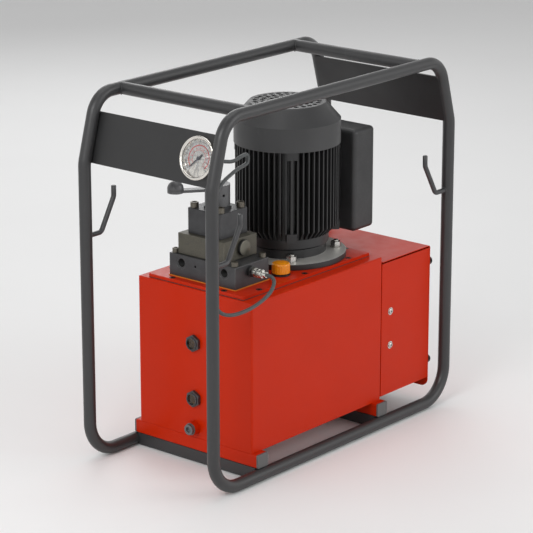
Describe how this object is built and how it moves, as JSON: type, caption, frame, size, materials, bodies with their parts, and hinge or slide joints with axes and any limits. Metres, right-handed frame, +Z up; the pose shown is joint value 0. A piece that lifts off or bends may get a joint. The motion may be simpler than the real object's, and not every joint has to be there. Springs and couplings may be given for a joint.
{
  "type": "hydraulic power unit",
  "caption": "Electric hydraulic power unit: finned motor and hand lever valve on a red oil tank, pressure gauge and hose hooks, in a grey tubular carrying frame.",
  "frame": {"origin": "on the floor under the middle of the frame", "axes": "+X along the frame towards the rear cover, +Z up, -Y is the side with the test fitting and hose"},
  "size_m": [0.827, 0.3794, 0.8177],
  "materials": {
    "frame_paint": "satin",
    "panel_paint": "satin",
    "hook_paint": "satin",
    "tank_paint": "gloss",
    "cover_paint": "gloss",
    "gasket_cork": "matt",
    "black_screws": "blackened",
    "bright_screws": "zinc plated",
    "end_caps": "matt",
    "sight_glass_metal": "black anodised",
    "sight_glass_lens": "clear",
    "drain_steel": "blackened",
    "motor_paint": "satin",
    "cowl_paint": "satin",
    "terminal_box_paint": "satin",
    "stator_steel": "laminated",
    "rotor_steel": "turned",
    "shaft_steel": "ground",
    "fan_plastic": "matt",
    "gland_plastic": "matt",
    "pump_iron": "as cast",
    "gear_steel": "ground",
    "strainer_mesh": "woven",
    "pipe_steel": "drawn",
    "manifold_steel": "blackened",
    "manifold_gasket": "matt",
    "relief_steel": "phosphated",
    "valve_steel": "blackened",
    "stack_screws": "blackened",
    "lever_steel": "satin",
    "lever_knob": "satin",
    "gauge_steel": "polished",
    "gauge_dial": "printed",
    "gauge_needle": "black",
    "gauge_glass": "clear",
    "neck_plastic": "matt",
    "filler_cap": "moulded",
    "fitting_steel": "nickel plated",
    "hose_rubber": "satin"
  },
  "bodies": {
    "power_unit": {"frame_hoop_near": "frame_paint", "frame_hoop_far": "frame_paint", "top_cross_tubes": "frame_paint", "base_straps": "frame_paint", "front_panel": "panel_paint", "rear_panel": "panel_paint", "hose_hooks": "hook_paint", "gauge_case": "gauge_steel", "gauge_dial": "gauge_dial", "gauge_glass": "gauge_glass", "tank_shell": "tank_paint", "tank_lid": "tank_paint", "lid_gasket": "gasket_cork", "lid_screws": "black_screws", "tank_feet": "tank_paint", "foot_end_caps": "end_caps", "sight_glass_bodies": "sight_glass_metal", "sight_lenses": "sight_glass_lens", "drain_plug": "drain_steel", "rear_cover": "cover_paint", "cover_side_plates": "cover_paint", "cover_screws": "bright_screws", "motor_flange_shield": "motor_paint", "motor_housing": "motor_paint", "motor_rear_shield": "motor_paint", "stator_core": "stator_steel", "motor_bearings": "shaft_steel", "fan_cowl": "cowl_paint", "terminal_box": "terminal_box_paint", "terminal_box_lid": "terminal_box_paint", "cable_gland": "gland_plastic", "flange_bolts": "bright_screws", "pump_housing": "pump_iron", "gear_housing": "pump_iron", "piston_elements": "gear_steel", "suction_strainer": "strainer_mesh", "oil_pipes": "pipe_steel", "base_manifold": "manifold_steel", "manifold_gasket": "manifold_gasket", "relief_block": "relief_steel", "relief_plug": "relief_steel", "valve_body": "valve_steel", "valve_stack_screws": "stack_screws", "filler_neck": "neck_plastic", "test_fitting": "fitting_steel", "hose_end_fittings": "fitting_steel", "gauge_hose": "hose_rubber", "hose_clips": "hook_paint"},
    "motor_rotor": {"motor_shaft": "shaft_steel", "rotor_core": "rotor_steel", "cooling_fan": "fan_plastic", "shaft_coupling": "gear_steel", "pump_shaft": "shaft_steel", "pump_drive_gear": "gear_steel"},
    "pump_idler": {"pump_driven_gear": "gear_steel"},
    "valve_handle": {"valve_lever": "lever_steel", "lever_knob": "lever_knob", "valve_spool": "shaft_steel"},
    "gauge_pointer": {"gauge_needle": "gauge_needle"},
    "filler_cap_turn": {"filler_cap": "filler_cap"}
  },
  "joints": [
    {"name": "motor_spin", "type": "hinge", "parent": "power_unit", "child": "motor_rotor", "pos_m": [0.0483, 0, 0.5], "axis": [0, 0, 1], "continuous": true},
    {"name": "pump_idler_spin", "type": "hinge", "parent": "power_unit", "child": "pump_idler", "pos_m": [0.0783, 0, 0.215], "axis": [0, 0, 1], "continuous": true},
    {"name": "valve_lever_swing", "type": "hinge", "parent": "power_unit", "child": "valve_handle", "pos_m": [-0.1725, 0.00825, 0.57], "axis": [0, 0, 1], "range_deg": [-45, 45]},
    {"name": "gauge_needle_sweep", "type": "hinge", "parent": "power_unit", "child": "gauge_pointer", "pos_m": [-0.38397, -0.117, 0.7195], "axis": [0.9623, 0, -0.272], "range_deg": [0, 270]},
    {"name": "filler_cap_unlock", "type": "hinge", "parent": "power_unit", "child": "filler_cap_turn", "pos_m": [-0.0805, -0.0899, 0.41], "axis": [0, 0, 1], "range_deg": [0, 90]}
  ],
  "couplings": [
    {"joint": "pump_idler_spin", "follows": "motor_spin", "ratio": -1}
  ]
}
